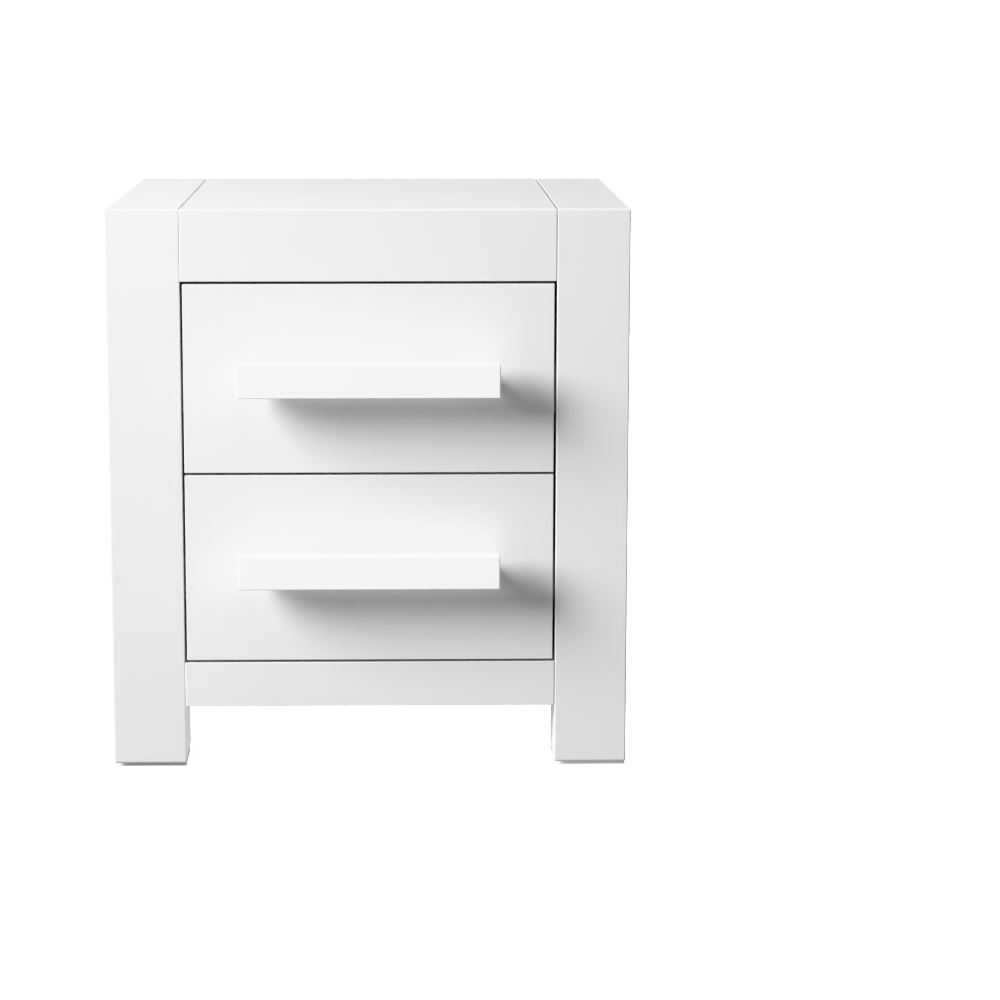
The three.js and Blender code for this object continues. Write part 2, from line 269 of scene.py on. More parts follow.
class Nodes:
    """Short ways to add nodes to one material's tree."""

    def __init__(self, tree):
        self.tree = tree

    def add(self, kind, inputs=(), **settings):
        node = self.tree.nodes.new(kind)
        for key, value in settings.items():
            setattr(node, key, value)
        for socket, value in dict(inputs).items():
            self.put(node.inputs[socket], value)
        return node

    def put(self, socket, value):
        if isinstance(value, bpy.types.NodeSocket):
            self.tree.links.new(value, socket)
        else:
            socket.default_value = value

    def coordinates(self, scale=(1, 1, 1)):
        place = self.add("ShaderNodeTexCoord").outputs["Object"]
        return self.add("ShaderNodeMapping", {"Vector": place, "Scale": scale}).outputs["Vector"]

    def noise(self, where, scale, detail=2.0, roughness=0.5, distortion=0.0):
        inputs = {"Vector": where, "Scale": scale, "Detail": detail, "Roughness": roughness,
                  "Distortion": distortion}
        return self.add("ShaderNodeTexNoise", inputs).outputs["Fac"]

    def spread(self, value, low, high, from_low=0.3, from_high=0.7):
        inputs = {"Value": value, "From Min": from_low, "From Max": from_high, "To Min": low, "To Max": high}
        return self.add("ShaderNodeMapRange", inputs).outputs["Result"]

    def mix(self, factor, first, second, blend="MIX"):
        node = self.add("ShaderNodeMix", data_type="RGBA", blend_type=blend)
        for socket, value in zip((node.inputs[0], node.inputs[6], node.inputs[7]), (factor, first, second)):
            self.put(socket, value)
        return node.outputs[2]

    def math(self, operation, first, second=0.0):
        node = self.add("ShaderNodeMath", operation=operation)
        self.put(node.inputs[0], first)
        self.put(node.inputs[1], second)
        return node.outputs[0]

    def bump(self, height, distance, strength=1.0, normal=None):
        node = self.add("ShaderNodeBump", {"Height": height, "Distance": distance, "Strength": strength})
        if normal:
            self.put(node.inputs["Normal"], normal)
        return node.outputs["Normal"]


def grey(level, warmth=0.0):
    return (level + warmth, level, level - warmth, 1.0)


def lacquer(name, level, roughness):
    """Sprayed satin lacquer: a faint orange peel over long waves, and a film that thins along the edges."""
    material, tree, shader = new_material(name)
    n = Nodes(tree)
    where = n.coordinates()
    peel = n.noise(where, 420, detail=1.5)
    waves = n.noise(where, 28, detail=1)
    normal = n.bump(waves, 0.25 * MM, 0.25)
    normal = n.bump(peel, 0.03 * MM, 0.5, normal)
    patches = n.spread(n.noise(where, 5, detail=2), 0.0, 1.0)
    colour = n.mix(patches, grey(level * 0.99, 0.001), grey(level))
    edge = n.add("ShaderNodeAttribute", attribute_name="edge").outputs["Fac"]
    rub = n.math("MULTIPLY", edge, n.spread(n.noise(where, 90, detail=4), 0.0, 0.5, 0.4, 0.75))
    colour = n.mix(rub, colour, grey(level * 0.9, 0.006))
    gloss = n.spread(n.noise(where, 18, detail=2), roughness - 0.02, roughness + 0.02)
    gloss = n.math("SUBTRACT", gloss, n.math("MULTIPLY", edge, 0.06))
    n.put(shader.inputs["Base Color"], colour)
    n.put(shader.inputs["Roughness"], gloss)
    n.put(shader.inputs["Normal"], normal)
    shader.inputs["IOR"].default_value = 1.48
    return material


def hardboard(name):
    """White-faced hardboard: a thin printed film over pressed fibres."""
    material, tree, shader = new_material(name)
    n = Nodes(tree)
    where = n.coordinates((1, 1, 1))
    fibres = n.noise(where, 900, detail=4, roughness=0.7)
    clumps = n.noise(where, 60, detail=5, roughness=0.65)
    colour = n.mix(n.spread(clumps, 0.0, 1.0), grey(0.765, 0.007), grey(0.79, 0.004))
    colour = n.mix(n.spread(fibres, 0.0, 0.25, 0.5, 0.75), colour, grey(0.66, 0.012))
    n.put(shader.inputs["Base Color"], colour)
    n.put(shader.inputs["Roughness"], n.spread(fibres, 0.45, 0.62))
    n.put(shader.inputs["Normal"], n.bump(fibres, 0.05 * MM, 0.6))
    return material


def plywood(name, thickness_axis, grain_axis, low, thickness, plies):
    """Clear lacquered birch ply: long veneer grain on the faces, stacked light and dark plies on the edges."""
    material, tree, shader = new_material(name)
    n = Nodes(tree)
    stretch = [14.0, 14.0, 14.0]
    stretch["XYZ".index(grain_axis)] = 0.9
    place = n.coordinates(tuple(stretch))
    figure = n.noise(place, 1.6, detail=5, roughness=0.6, distortion=0.7)
    stretch = [900.0, 900.0, 900.0]
    stretch["XYZ".index(grain_axis)] = 28.0
    pores = n.noise(n.coordinates(tuple(stretch)), 1.0, detail=3, roughness=0.6)
    veneer = n.mix(n.spread(figure, 0.0, 1.0), (0.62, 0.42, 0.23, 1), (0.76, 0.58, 0.37, 1))
    veneer = n.mix(n.spread(pores, 0.0, 0.45, 0.55, 0.8), veneer, (0.45, 0.28, 0.14, 1))

    ply = thickness / plies
    depth = n.add("ShaderNodeSeparateXYZ", {"Vector": n.coordinates()}).outputs[thickness_axis]
    layer = n.math("FLOOR", n.math("DIVIDE", n.math("SUBTRACT", depth, low), ply))
    odd = n.math("MODULO", n.math("ABSOLUTE", layer), 2.0)
    within = n.math("FRACT", n.math("DIVIDE", n.math("SUBTRACT", depth, low), ply))
    glue = n.math("LESS_THAN", n.math("ABSOLUTE", n.math("SUBTRACT", within, 0.5)), 0.44)
    end_grain = n.mix(n.spread(n.noise(n.coordinates(), 1500, detail=2), 0.0, 0.5), (0.36, 0.22, 0.11, 1),
                      (0.5, 0.33, 0.18, 1))
    edge_colour = n.mix(odd, veneer, end_grain)
    edge_colour = n.mix(glue, (0.3, 0.18, 0.09, 1), edge_colour)
    normal = n.add("ShaderNodeNewGeometry").outputs["Normal"]
    normal_parts = n.add("ShaderNodeSeparateXYZ", {"Vector": normal})
    on_face = n.math("GREATER_THAN", n.math("ABSOLUTE", normal_parts.outputs[thickness_axis]), 0.7)
    colour = n.mix(on_face, edge_colour, veneer)
    n.put(shader.inputs["Base Color"], colour)
    n.put(shader.inputs["Roughness"], n.spread(pores, 0.38, 0.55))
    n.put(shader.inputs["Normal"], n.bump(pores, 0.06 * MM, 0.5))
    return material


def plated_steel(name, level, roughness, grain=(1500, 12, 1500)):
    """Plated steel with fine rolling marks along Y and a cloudy plating."""
    material, tree, shader = new_material(name)
    n = Nodes(tree)
    marks = n.noise(n.coordinates(grain), 1.0, detail=3, roughness=0.6)
    clouds = n.noise(n.coordinates(), 150, detail=4, roughness=0.6)
    colour = n.mix(n.spread(clouds, 0.0, 1.0), grey(level * 0.9, -0.008), grey(level))
    n.put(shader.inputs["Base Color"], colour)
    shine = n.math("ADD", n.spread(marks, roughness - 0.06, roughness + 0.06), n.spread(clouds, 0.0, 0.08))
    n.put(shader.inputs["Roughness"], shine)
    n.put(shader.inputs["Normal"], n.bump(marks, 0.01 * MM, 0.5))
    shader.inputs["Metallic"].default_value = 1.0
    return material


def moulded(name, colour, roughness, texture=0.04 * MM):
    """Moulded plastic or rubber with a fine sparked texture."""
    material, tree, shader = new_material(name)
    n = Nodes(tree)
    grain = n.noise(n.coordinates(), 1800, detail=2)
    drift = n.noise(n.coordinates(), 90, detail=3)
    darker = tuple(0.8 * c for c in colour)
    n.put(shader.inputs["Base Color"], n.mix(n.spread(drift, 0.0, 1.0), (*darker, 1), (*colour, 1)))
    n.put(shader.inputs["Roughness"], n.spread(grain, roughness - 0.06, roughness + 0.08))
    n.put(shader.inputs["Normal"], n.bump(grain, texture, 0.5))
    return material


WHITE = lacquer("white_lacquer", 0.8, 0.36)
HANDLE_WHITE = lacquer("handle_lacquer", 0.95, 0.3)
BACK_WHITE = hardboard("white_hardboard")
ZINC = plated_steel("zinc_plated_sheet", 0.62, 0.3)
NICKEL = plated_steel("nickel_plate", 0.7, 0.2, (300, 300, 300))
BALL_STEEL = plated_steel("ball_steel", 0.55, 0.12, (200, 200, 200))
CAGE_STEEL = plated_steel("cage_steel", 0.45, 0.35)
GLIDE_NYLON = moulded("glide_nylon", (0.3, 0.28, 0.25), 0.55)
BLACK_PLASTIC = moulded("black_plastic", (0.02, 0.02, 0.022), 0.45)

# ---------------------------------------------------------------- fittings used in many places

def cross_recess(head_radius, top, depth):
    """Two crossed tapered blades that cut a cross recess down from the top of a head on +Z."""
    cutters = []
    for turn in (0.0, math.pi / 2):
        bm = box_cutter((-0.62 * head_radius, -0.13 * head_radius, top - depth),
                        (0.62 * head_radius, 0.13 * head_radius, top + depth))
        for vertex in bm.verts:
            if vertex.co.z < top:
                vertex.co.x *= 0.35
                vertex.co.y *= 0.7
        bmesh.ops.rotate(bm, matrix=Matrix.Rotation(turn, 3, "Z"), verts=bm.verts)
        cutters.append(bm)
    return cutters


def template(name, profile, recess_radius, recess_depth, segments=32):
    """A turned head with a cross recess, kept as a mesh that copy_into places, flat side at the origin."""
    head = turned(bmesh.new(), profile, (0, 0, 0), Z, segments)
    top = max(place for _, place in profile)
    bm = carve(head, cross_recess(recess_radius, top, recess_depth))
    mesh = bpy.data.meshes.new(name)
    bm.to_mesh(mesh)
    bm.free()
    return mesh


def pan_head(radius, height):
    """A low domed head with a straight rim."""
    dome = [(radius * math.cos(math.radians(a)) ** 0.6, height * (0.3 + 0.7 * math.sin(math.radians(a))))
            for a in range(0, 90, 15)]
    return [(0, 0), (radius, 0), *dome, (0, height)]


PAN_HEAD = template("pan_head", pan_head(1.0, 0.65), 1.0, 0.4)
CAM_FACE = template("cam_face", [(0, 0), (1.0, 0), (1.0, 0.04), (0.94, 0.1), (0, 0.1)], 0.7, 0.08, 40)
FLAT_SCREW = template("flat_screw", [(0, 0), (1.0, 0), (0.97, 0.08), (0, 0.1)], 1.0, 0.08, 32)

# ---------------------------------------------------------------- side frames

def side_frame(side, sign):
    """Two legs and two rails round the panels of one side. The legs and the top rail meet in mitres."""
    def radii(order):
        """Radii of the four long edges, from 'i' for the inner and 'o' for the outer ones."""
        return [SEAM_EDGE if letter == "i" else ARRIS for letter in order]

    top_low, top_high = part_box(f"{side}_top_rail")
    for end in ("front", "rear"):
        node = f"{end}_{side}_leg"
        low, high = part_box(node)
        # Edges that run up the leg, counter-clockwise from the left front one.
        bm = board(low, high, "Z", radii("oiio" if sign == -1 else "iooi"), (LEG_END, ARRIS))
        facing = 1 if end == "front" else -1
        corner = Vector((0, low.y if end == "front" else high.y, high.z))
        mitre(bm, corner, Vector((0, facing * (top_high.z - top_low.z), high.y - low.y)))
        cutters = [nail_hole(low, high)]
        if end == "rear":
            cutters.append(back_groove())
        finish_node(node, carve(bm, cutters), WHITE)

    low, high = top_low, top_high
    # Edges that run along Y, in the (z, x) plane: lowest z and x first.
    bm = board(low, high, "Y", radii("ooii" if sign == -1 else "iioo"), (ARRIS, ARRIS))
    leg_low, leg_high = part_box(f"front_{side}_leg")
    for place, facing in ((low.y, 1), (high.y, -1)):
        mitre(bm, Vector((0, place, high.z)), Vector((0, facing * (low.z - high.z), leg_low.y - leg_high.y)))
    finish_node(f"{side}_top_rail", carve(bm, [shadow_groove(sign)]), WHITE)

    low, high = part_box(f"{side}_bottom_rail")
    finish_node(f"{side}_bottom_rail", board(low, high, "Y", 4 * [BOARD_EDGE], 2 * [0.2 * MM]), WHITE)
    for which in ("outer", "inner"):
        node = f"{side}_{which}_panel"
        low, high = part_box(node)
        finish_node(node, board(low, high, "Z", 4 * [0.2 * MM], 2 * [0.2 * MM]), WHITE)


def nail_hole(low, high):
    """The hole for a glide's nail, up from the middle of a leg's bottom."""
    middle = ((low.x + high.x) / 2, (low.y + high.y) / 2, low.z - 1 * MM)
    return turned(bmesh.new(), [(0, 0), (1.6 * MM, 0), (1.6 * MM, 16.5 * MM), (0, 16.5 * MM)], middle, Z, 16)


def shadow_groove(sign):
    """The space of the groove along the top's seam on one side, which cuts back both pieces."""
    reach, depth = SHADOW_GROOVE
    low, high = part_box("top_panel")
    seam = sign * (high.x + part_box("right_top_rail")[0].x) / 2
    return box_cutter((seam - reach, low.y + GROOVE_START, high.z - depth),
                      (seam + reach, high.y + MM, high.z + MM))


def back_groove():
    """The space of the back panel's grooves: the panel with a small clearance."""
    low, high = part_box("back_panel")
    clearance = Vector((0.3, 0.3, 0.3)) * MM
    return box_cutter(low - clearance, high + clearance)


def glides():
    """Nail-on floor glides: a nylon puck with a rounded rim and a countersunk steel nail."""
    for end in ("front", "rear"):
        for side in SIDES:
            node = f"{end}_{side}_glide"
            leg_low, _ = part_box(f"{end}_{side}_leg")
            low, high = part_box(node)
            centre = Vector(((low.x + high.x) / 2, (low.y + high.y) / 2, 0))
            radius, thick = (high.x - low.x) / 2, leg_low.z
            rim = 1.0 * MM
            profile = [(0, 0.9 * MM), (2.2 * MM, 0.9 * MM), (3.4 * MM, 0), (radius - rim, 0)]
            profile += arc(radius - rim, rim, rim, -90, 0)[1:]
            profile += [(radius, thick), (1.3 * MM, thick), (1.3 * MM, high.z - 2 * MM), (0, high.z)]
            finish_node(node, turned(bmesh.new(), profile, centre, Z), GLIDE_NYLON)
            head = [(0, 0), (2.0 * MM, 0), (2.0 * MM, 0.25 * MM), (1.4 * MM, 0.5 * MM), (0, 0.55 * MM)]
            nail = turned(bmesh.new(), head, centre + Z * 0.9 * MM, -Z, 24)
            add_piece(f"{end}_{side}_glide_nail", nail, NICKEL, "carcass")


# ---------------------------------------------------------------- top, bottom and back

def folded_top():
    """The top panel and its apron, folded along the front arris in a mitre."""
    low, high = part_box("top_panel")
    apron_low, apron_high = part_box("top_front_apron")
    fold = Vector((0, low.y, high.z))
    beyond = Vector((0, high.z - low.z, apron_high.y - low.y))  # up and back from the fold's slope
    bm = mitre(board(low, high, "Y", 4 * [SEAM_EDGE], (ARRIS, ARRIS)), fold, -beyond)
    finish_node("top_panel", carve(bm, [shadow_groove(sign) for sign in SIDES.values()]), WHITE)
    # Edges along X in the (y, z) plane: the front lower one lies over the drawers' gap, the front upper one
    # on the fold.
    bm = board(apron_low, apron_high, "X", [REVEAL_EDGE, BOARD_EDGE, SEAM_EDGE, ARRIS], 2 * [SEAM_EDGE])
    finish_node("top_front_apron", mitre(bm, fold, beyond), WHITE)


def rails_bottom_and_back():
    low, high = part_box("bottom_front_rail")
    edges = [BOARD_EDGE, BOARD_EDGE, BOARD_EDGE, REVEAL_EDGE]
    finish_node("bottom_front_rail", board(low, high, "X", edges, 2 * [SEAM_EDGE]), WHITE)
    for node in ("top_back_rail", "bottom_back_rail"):
        low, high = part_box(node)
        bm = board(low, high, "X", 4 * [BOARD_EDGE], 2 * [SEAM_EDGE])
        finish_node(node, carve(bm, [back_groove()]), WHITE)
    low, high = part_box("bottom_panel")
    finish_node("bottom_panel", board(low, high, "X", 4 * [0.3 * MM], 2 * [0.3 * MM]), WHITE)
    low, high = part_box("back_panel")
    finish_node("back_panel", board(low, high, "Y", 4 * [0.3 * MM], 2 * [0.3 * MM]), BACK_WHITE)


def carcass_cams():
    """Cam fittings that pull the bottom and its rails to the side frames, seen from underneath."""
    low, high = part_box("bottom_panel")
    bm = bmesh.new()
    for sign in SIDES.values():
        for share in (0.18, 0.82):
            centre = (sign * (high.x - 34 * MM), low.y + share * (high.y - low.y),
                      low.z + 0.1 * CAM_DIAMETER / 4)
            copy_into(bm, CAM_FACE, centre, -Z, CAM_DIAMETER / 2, math.radians(20 + 45 * sign))
    add_piece("bottom_cams", bm, ZINC, "carcass")


# ---------------------------------------------------------------- drawers

def drawer(name):
    body = f"{name}_drawer"
    front_low, front_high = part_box(f"{name}_drawer_front")
    groove = bottom_groove(name)
    bm = board(front_low, front_high, "X", 4 * [REVEAL_EDGE], 2 * [REVEAL_EDGE])
    finish_node(f"{name}_drawer_front", carve(bm, [groove()]), WHITE)
    for side in SIDES:
        node = f"{name}_drawer_{side}_side"
        low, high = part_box(node)
        bm = board(low, high, "Y", 4 * [PLY_EDGE], (0.2 * MM, PLY_EDGE))
        ply = plywood(node, "X", "Y", low.x, high.x - low.x, 9)
        finish_node(node, carve(bm, [groove()]), ply)
    node = f"{name}_drawer_back"
    low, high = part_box(node)
    bm = board(low, high, "X", [0.3 * MM, PLY_EDGE, PLY_EDGE, 0.3 * MM], 2 * [0.2 * MM])
    finish_node(node, bm, plywood(node, "Y", "X", low.y, high.y - low.y, 9))
    node = f"{name}_drawer_bottom"
    low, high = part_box(node)
    bm = board(low, high, "Z", 4 * [0.2 * MM], 2 * [0.2 * MM])
    finish_node(node, bm, plywood(node, "Z", "X", low.z, high.z - low.z, 5))
    handle(name)
    box_fittings(name, body)


def bottom_groove(name):
    """Makes cutters for the groove that a drawer's bottom slides in: the bottom with a small clearance."""
    low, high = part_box(f"{name}_drawer_bottom")
    clearance = Vector((0.3, 0.3, 0.3)) * MM
    return lambda: box_cutter(low - clearance, high + clearance + Y * MM)


def handle(name):
    low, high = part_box(f"{name}_handle_bar")
    finish_node(f"{name}_handle_bar", board(low, high, "X", 4 * [BAR_EDGE], 2 * [BAR_EDGE]), HANDLE_WHITE)
    for side in SIDES:
        node = f"{name}_handle_standoff_{side}"
        low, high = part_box(node)
        centre = Vector(((low.x + high.x) / 2, low.y, (low.z + high.z) / 2))
        radius, length, ease = (high.x - low.x) / 2, high.y - low.y, 0.5 * MM
        bore = 2.3 * MM
        profile = [(bore, 0), *arc(radius - ease, ease, ease, -90, 0)]
        profile += [*arc(radius - ease, length - ease, ease, 0, 90), (bore, length), (bore, 0)]
        finish_node(node, turned(bmesh.new(), profile, centre, Y), HANDLE_WHITE)
        node = f"{name}_handle_screw_{side}"
        low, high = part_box(node)
        _, front_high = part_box(f"{name}_drawer_front")
        centre = Vector(((low.x + high.x) / 2, front_high.y, (low.z + high.z) / 2))
        bm = bmesh.new()
        radius = (high.x - low.x) / 2
        copy_into(bm, PAN_HEAD, centre, Y, radius, math.radians(25))
        shank, tip = 2.0 * MM, front_high.y - low.y
        profile = [(0, 0), (shank, 0), *thread(shank, tip - 1 * MM), (0, tip)]
        turned(bm, profile, centre - Y * 0.02 * MM, -Y, 16)
        finish_node(node, bm, NICKEL)


def thread(radius, length, pitch=0.7 * MM, depth=0.3 * MM):
    """Rings that stand for a screw's thread."""
    turns = int(length / pitch)
    return [(radius - depth * (step % 2), (step + 1) * pitch / 2) for step in range(2 * turns)]


def box_fittings(name, body):
    """Cams that pull the front to the sides, and screws through the sides into the back."""
    cams, screws = bmesh.new(), bmesh.new()
    _, front_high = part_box(f"{name}_drawer_front")
    for side, sign in SIDES.items():
        low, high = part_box(f"{name}_drawer_{side}_side")
        inner, outer = (low.x, high.x) if sign == 1 else (high.x, low.x)
        for height in (low.z + 38 * MM, high.z - 24 * MM):
            centre = (inner + sign * 0.6 * MM, front_high.y + 24 * MM, height)
            copy_into(cams, CAM_FACE, centre, -sign * X, CAM_DIAMETER / 2, math.radians(30))
        for height in (low.z + 20 * MM, high.z - 20 * MM):
            centre = (outer - sign * 0.25 * MM, high.y - 6 * MM, height)
            copy_into(screws, FLAT_SCREW, centre, sign * X, 3.5 * MM, math.radians(height * 1e5))
    add_piece(f"{name}_drawer_cams", cams, ZINC, body)
    add_piece(f"{name}_drawer_screws", screws, NICKEL, body)


# ---------------------------------------------------------------- runners

def filleted(points, radius, steps=5):
    """An open polyline with its corners rounded, and the direction of the line at each point."""
    path = [Vector(points[0])]
    for before, corner, after in zip(points, points[1:], points[2:]):
        before, corner, after = Vector(before), Vector(corner), Vector(after)
        into, out = (corner - before).normalized(), (after - corner).normalized()
        start, end = corner - into * radius, corner + out * radius
        for step in range(steps + 1):
            t = step / steps
            angle = t * math.pi / 2
            path.append(corner + (start - corner) * (1 - math.sin(angle))
                        + (end - corner) * (1 - math.cos(angle)))
    path.append(Vector(points[-1]))
    return path


def sheet_outline(path, thickness):
    """The outline of a sheet of some thickness bent along a path."""
    left, right = [], []
    for i, point in enumerate(path):
        direction = (path[min(i + 1, len(path) - 1)] - path[max(i - 1, 0)]).normalized()
        side = Vector((-direction.y, direction.x)) * thickness / 2
        left.append(point + side)
        right.append(point - side)
    return left + right[::-1]


def bent_channel(bm, web, edge, height, hook, ends, centre_z, sheet):
    """Adds a channel along Y: its web at x = web, its flanges out to x = edge, and their edges hooked inwards."""
    half = sheet / 2
    toward = math.copysign(1, edge - web)
    u_web, u_edge, v = web + toward * half, edge - toward * half, height / 2 - half
    points = [(u_edge, v - hook), (u_edge, v), (u_web, v), (u_web, -v), (u_edge, -v), (u_edge, hook - v)]
    if hook == 0:
        points = points[1:-1]
    path = filleted(points, 0.95 * sheet)
    outline = sheet_outline(path, sheet)
    rings = [[bm.verts.new((p.x, y, centre_z + p.y)) for p in outline] for y in ends]
    loft(bm, rings)
    return bm


def slot_cutter(x0, x1, y, z, length, width):
    """A slot through a web that faces X, along Y, with round ends."""
    bm = bmesh.new()
    outline = []
    for turn, centre in ((-90, length / 2 - width / 2), (90, -length / 2 + width / 2)):
        for step in range(9):
            a = math.radians(turn + 180 * step / 8)
            outline.append((y + centre + width / 2 * math.cos(a), z + width / 2 * math.sin(a)))
    loft(bm, [[bm.verts.new((x, a, b)) for a, b in outline] for x in (x0, x1)])
    return bm


def runner(name, side, sign):
    """One full-extension runner: three channels with holes and screws, two ball cages, bumpers and a lever."""
    boxes = {member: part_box(f"{name}_{side}_{member}_runner") for member in ("cabinet", "middle", "drawer")}
    for member, (low, high) in boxes.items():
        near, far = (high.x, low.x) if sign == 1 else (low.x, high.x)
        web, edge = (far, near) if member == "drawer" else (near, far)
        middle = (low.z + high.z) / 2
        bm = bent_channel(bmesh.new(), web, edge, high.z - low.z, 1.8 * MM, (low.y, high.y), middle, SHEET)
        length = high.y - low.y
        slots = []
        for share, size in ((0.16, 14), (0.36, 8), (0.62, 14), (0.8, 8)):
            place = low.y + share * length
            slots.append(slot_cutter(min(web, edge) - MM, max(web, edge) + MM, place, middle, size * MM,
                                     5 * MM))
        finish_node(f"{name}_{side}_{member}_runner", carve(bm, slots), ZINC)
    runner_screws(name, side, sign, boxes)
    cages(name, side, sign, boxes)
    lever_and_bumpers(name, side, sign, boxes)


def runner_screws(name, side, sign, boxes):
    """Pan-head screws through the webs: into the cabinet's side, and into the drawer's."""
    for member, body in (("cabinet", "carcass"), ("drawer", f"{name}_drawer")):
        low, high = boxes[member]
        near, far = (high.x, low.x) if sign == 1 else (low.x, high.x)
        web = near if member == "cabinet" else far
        inwards = -sign if member == "cabinet" else sign
        bm = bmesh.new()
        for share in (0.07, 0.48, 0.92):
            centre = (web + inwards * SHEET * 0.98, low.y + share * (high.y - low.y), (low.z + high.z) / 2)
            copy_into(bm, FLAT_SCREW, centre, X * inwards, 3.2 * MM, share * 3)
        add_piece(f"{name}_{side}_{member}_runner_screws", bm, NICKEL, body)


def cages(name, side, sign, boxes):
    """The two ball cages, which stay with the middle channel: one at its rear end outside, and one at its
    front end inside."""
    body = f"{name}_runner_middles"
    members = ("cabinet", "middle", "drawer")
    (cab_low, cab_high), (mid_low, mid_high), (box_low, box_high) = (boxes[m] for m in members)
    middle = (mid_low.z + mid_high.z) / 2
    wall = cab_high.x if sign == 1 else cab_low.x

    def at(distance):
        return wall - sign * distance

    # (cage's web, edge and ball place from the cabinet's side, outer and inner channels' heights, its start)
    middle_height, drawer_height = mid_high.z - mid_low.z, box_high.z - box_low.z
    cabinet_height = cab_high.z - cab_low.z
    rows = [
        ("outer", 1.6 * MM, 8.2 * MM, 5.6 * MM, cabinet_height, middle_height,
         mid_high.y - CAGE_LENGTH - 4 * MM),
        ("inner", 3.95 * MM, 10.2 * MM, 7.6 * MM, middle_height, drawer_height, mid_low.y + 4 * MM),
    ]
    for which, web, edge, ball_place, outer, inner, start in rows:
        track = (outer / 2 - SHEET + inner / 2) / 2
        strip = bent_channel(bmesh.new(), at(web), at(edge), 2 * track + CAGE_SHEET, 0,
                             (start, start + CAGE_LENGTH), middle, CAGE_SHEET)
        add_piece(f"{name}_{side}_{which}_ball_cage", strip, CAGE_STEEL, body)
        balls = bmesh.new()
        count = int(CAGE_LENGTH / BALL_PITCH)
        for i in range(count):
            for up in (-1, 1):
                centre = Vector((at(ball_place), start + (i + 0.5) * CAGE_LENGTH / count, middle + up * track))
                bmesh.ops.create_icosphere(balls, subdivisions=2, radius=BALL / 2,
                                           matrix=Matrix.Translation(centre))
        add_piece(f"{name}_{side}_{which}_balls", balls, BALL_STEEL, body)


def lever_and_bumpers(name, side, sign, boxes):
    """The black release lever inside the drawer's channel, and the rubber stop at the rear of the cabinet's."""
    low, high = boxes["drawer"]
    middle = (low.z + high.z) / 2
    web = low.x if sign == 1 else high.x
    a, b = sorted((web + sign * 1.3 * MM, web + sign * 4.0 * MM))
    y = low.y + 0.7 * (high.y - low.y)
    bm = board(Vector((a, y, middle - 3 * MM)), Vector((b, y + 44 * MM, middle + 3 * MM)), "Y", 4 * [1.0 * MM],
               2 * [1.0 * MM])
    add_piece(f"{name}_{side}_runner_lever", bm, BLACK_PLASTIC, f"{name}_drawer")
    low, high = boxes["cabinet"]
    wall = high.x if sign == 1 else low.x
    a, b = sorted((wall - sign * 1.4 * MM, wall - sign * 8.5 * MM))
    bm = board(Vector((a, high.y - 4 * MM, middle - 10 * MM)), Vector((b, high.y - 0.2 * MM, middle + 10 * MM)), "Z",
               4 * [1.2 * MM], 2 * [1.2 * MM])
    add_piece(f"{name}_{side}_runner_stop", bm, BLACK_PLASTIC, "carcass")


# ---------------------------------------------------------------- the object

for side, sign in SIDES.items():
    side_frame(side, sign)
glides()
folded_top()
rails_bottom_and_back()
carcass_cams()
for name in DRAWERS:
    drawer(name)
    for side, sign in SIDES.items():
        runner(name, side, sign)

# ---------------------------------------------------------------- floor, light and camera

TARGET = (0, -0.2, 0.3)  # what the key lamps point at
KEY_DIRECTION = (-2.5, -1.0, 1.4)
KEY_AWAY, KEY_WIDTH, KEY_HEIGHT, KEY_POWER = 5.4, 2.58, 3.4, 730
FLAGGED = 0.36  # share of the key that reaches the left side frame and what stands behind the fronts
MIDDLE_TRIM = 1.07  # makes up for the key's nearness to the left side
REAR_POWER = 80
WASH_POWER = 9.0
FRONT_FILL, EVEN_FILL, BACK_FILL, LOW_FILL = 0.04, 0.18, 0.27, 0.6  # radiance of the surround, by direction
WHITE_LEVEL = 2.4  # scene brightness that shows as pure white
SHOULDER = [(0.0, 0.0), (0.9, 0.9), (1.1, 0.94), (1.4, 0.965), (1.8, 0.985), (2.4, 1.0)]  # tones as shown


def studio_floor():
    material, tree, shader = new_material("studio_floor")
    n = Nodes(tree)
    soft = n.noise(n.coordinates(), 3, detail=2)
    n.put(shader.inputs["Base Color"], n.mix(soft, grey(0.9), grey(0.93)))
    n.put(shader.inputs["Roughness"], n.spread(soft, 0.6, 0.7))
    shader.inputs["Specular IOR Level"].default_value = 0.0
    below = n.add("ShaderNodeNewGeometry").outputs["Backfacing"]
    open_below = n.add("ShaderNodeMixShader", {"Fac": below, 1: shader.outputs["BSDF"]})
    n.put(open_below.inputs[2], n.add("ShaderNodeBsdfTransparent").outputs["BSDF"])
    n.put(tree.nodes["Material Output"].inputs["Surface"], open_below.outputs["Shader"])
    mesh = bpy.data.meshes.new("studio_floor")
    half = 30.0
    corners = [(-half, -half, 0), (half, -half, 0), (half, half, 0), (-half, half, 0)]
    mesh.from_pydata(corners, [], [(0, 1, 2, 3)])
    mesh.materials.append(material)
    floor = bpy.data.objects.new("studio_floor", mesh)
    bpy.context.scene.collection.objects.link(floor)
    floor.visible_diffuse = floor.visible_glossy = False
    return floor


def area_light(name, place, target, width, height, power):
    light = bpy.data.lights.new(name, "AREA")
    light.shape, light.size, light.size_y, light.energy = "ELLIPSE", width, height, power
    lamp = bpy.data.objects.new(name, light)
    lamp.location = place
    lamp.rotation_mode = "QUATERNION"
    lamp.rotation_quaternion = (Vector(target) - Vector(place)).to_track_quat("-Z", "Y")
    bpy.context.scene.collection.objects.link(lamp)
    return lamp


def light_only(lamp, things):
    group = bpy.data.collections.new(lamp.name + "_reaches")
    for thing in things:
        group.objects.link(thing)
    lamp.light_linking.receiver_collection = group


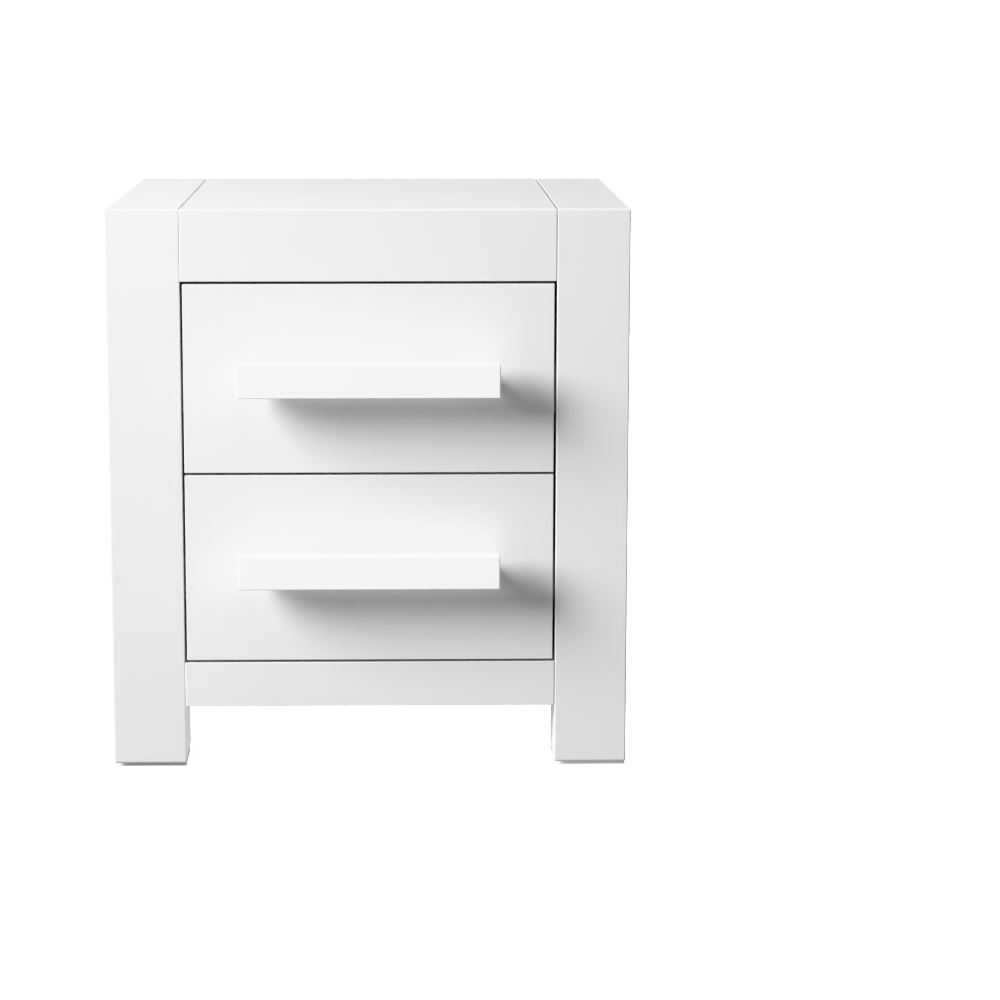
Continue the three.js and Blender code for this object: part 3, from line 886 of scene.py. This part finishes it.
def studio_light(floor):
    """A large soft key from the upper left, kept off the left side and the inside by a flag, an even surround,
    a rear lamp, and a wash that only the floor receives."""
    world = bpy.data.worlds.new("studio")
    world.use_nodes = True
    bpy.context.scene.world = world
    n = Nodes(world.node_tree)
    direction = n.add("ShaderNodeTexCoord").outputs["Generated"]
    parts = n.add("ShaderNodeSeparateXYZ", {"Vector": direction})
    rising = n.spread(parts.outputs["Z"], 0.0, 1.0, 0.05, -0.3)  # 1 well below the horizon
    level = n.spread(parts.outputs["Y"], FRONT_FILL + EVEN_FILL, EVEN_FILL, -1.0, 0.1)
    level = n.math("ADD", level, n.spread(parts.outputs["Y"], 0.0, BACK_FILL, 0.0, 1.0))
    for axis, start, full in (("Y", 0.0, 0.6), ("X", 0.2, 0.8)):
        low_fill = n.spread(parts.outputs[axis], 0.0, LOW_FILL, start, full)
        level = n.math("ADD", level, n.math("MULTIPLY", rising, low_fill))
    seen = n.add("ShaderNodeLightPath").outputs["Is Camera Ray"]
    background = world.node_tree.nodes["Background"]
    n.put(background.inputs["Color"], grey(1.0))
    n.put(background.inputs["Strength"], n.math("MAXIMUM", level, n.math("MULTIPLY", seen, WHITE_LEVEL)))

    direction = Vector(KEY_DIRECTION).normalized()
    middle = Vector((0, direction.y, direction.z))  # what the key gives the front and the top without its side
    pieces = [thing for thing in bpy.context.scene.objects if thing.type == "MESH" and thing != floor]
    front_low, front_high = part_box("upper_drawer_front")
    shaded, open_to_key = [], [floor]
    for thing in pieces:
        corners = [thing.matrix_world @ Vector(corner) for corner in thing.bound_box]
        behind = min(corner.y for corner in corners) > front_high.y - 2 * MM
        on_left = max(corner.x for corner in corners) < front_low.x
        (shaded if behind or on_left else open_to_key).append(thing)
    middle_power = MIDDLE_TRIM * (1 - FLAGGED) * middle.length * KEY_POWER
    for name, towards, power, reaches in (
            ("key", direction, KEY_POWER, open_to_key),
            ("flagged_key", direction, FLAGGED * KEY_POWER, shaded),
            ("middle", middle.normalized(), middle_power, shaded)):
        place = Vector(TARGET) + KEY_AWAY * towards
        light_only(area_light(name, place, TARGET, KEY_WIDTH, KEY_HEIGHT, power), reaches)
    rear = area_light("rear", (2.6, 3.6, 0.0), (0, 0.1, 0.25), 1.6, 0.9, REAR_POWER)  # no higher than the top
    light_only(rear, [thing for thing in pieces if not thing.name.startswith("front_left_leg")])

    wash = bpy.data.lights.new("floor_wash", "SUN")
    wash.energy, wash.angle = WASH_POWER, math.radians(6)
    lamp = bpy.data.objects.new("floor_wash", wash)
    bpy.context.scene.collection.objects.link(lamp)
    receivers, blockers = bpy.data.collections.new("floor_only"), bpy.data.collections.new("legs_only")
    receivers.objects.link(floor)
    for node in NODES:
        if node.endswith(("_leg", "_glide")):
            blockers.objects.link(bpy.data.objects[node + "_finished"])
    lamp.light_linking.receiver_collection, lamp.light_linking.blocker_collection = receivers, blockers


def photo_camera():
    """The photograph's view: nearly straight on and a little above."""
    camera = bpy.data.cameras.new("camera")
    camera.sensor_width, camera.lens = 36.0, 100.3
    camera.shift_x, camera.shift_y = 0.06, -0.08
    holder = bpy.data.objects.new("camera", camera)
    holder.location = (0.022, -2.834, 0.7594)
    holder.rotation_euler = (math.radians(90 - 8.97), 0, math.radians(-1.0))
    bpy.context.scene.collection.objects.link(holder)
    bpy.context.scene.camera = holder


def soft_highlights():
    """Tones up to the first bend of the shoulder show as they are, and brighter ones are eased to white."""
    view = bpy.context.scene.view_settings
    view.view_transform = "Standard"
    view.use_curve_mapping = True
    mapping = view.curve_mapping
    mapping.white_level = 3 * [WHITE_LEVEL]
    mapping.extend = "HORIZONTAL"
    points = mapping.curves[3].points
    while len(points) < len(SHOULDER):
        points.new(0.5, 0.5)
    for point, (scene_tone, shown) in zip(points, SHOULDER):
        point.location = scene_tone / WHITE_LEVEL, shown
        point.handle_type = "VECTOR"
    mapping.update()


floor = studio_floor()
studio_light(floor)
photo_camera()
soft_highlights()
